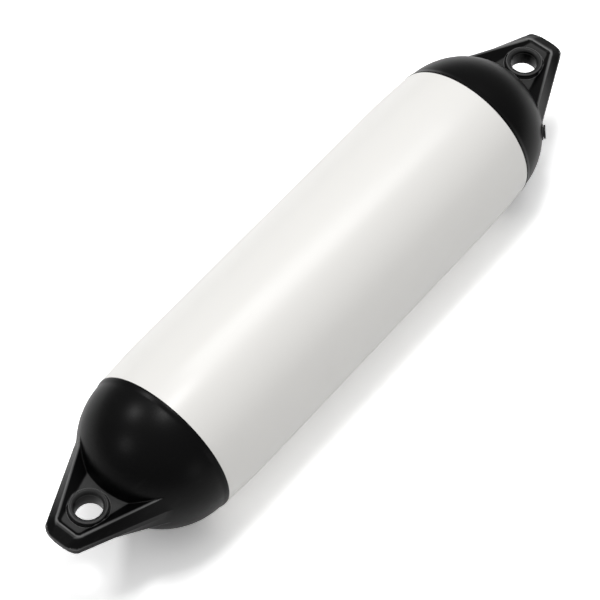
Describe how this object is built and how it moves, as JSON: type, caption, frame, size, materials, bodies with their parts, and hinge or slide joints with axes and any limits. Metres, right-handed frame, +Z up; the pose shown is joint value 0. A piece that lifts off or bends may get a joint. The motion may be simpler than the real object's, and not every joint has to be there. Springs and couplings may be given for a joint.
{
  "type": "boat fender",
  "caption": "Inflatable cylindrical boat fender with a smooth white tube, black domed end caps and a flat rope ear with an eye at each end.",
  "frame": {"origin": "on the ground under the middle of the fender, at the centre of the flat that it lies on", "axes": "+X along the fender towards the end with the inflation valve, +Z up, square to the ears, and -Y towards the side with the valve"},
  "size_m": [0.67, 0.15, 0.1496],
  "materials": {
    "white_vinyl": "smooth inflated vinyl with a soft gloss",
    "black_vinyl": "moulded vinyl with a soft gloss",
    "black_nylon": "moulded nylon, satin"
  },
  "bodies": {
    "root": {"body_tube": "white_vinyl", "plain_end_cap": "black_vinyl", "valve_end_cap": "black_vinyl", "valve_bush": "black_nylon", "valve_plug": "black_nylon"}
  },
  "joints": []
}
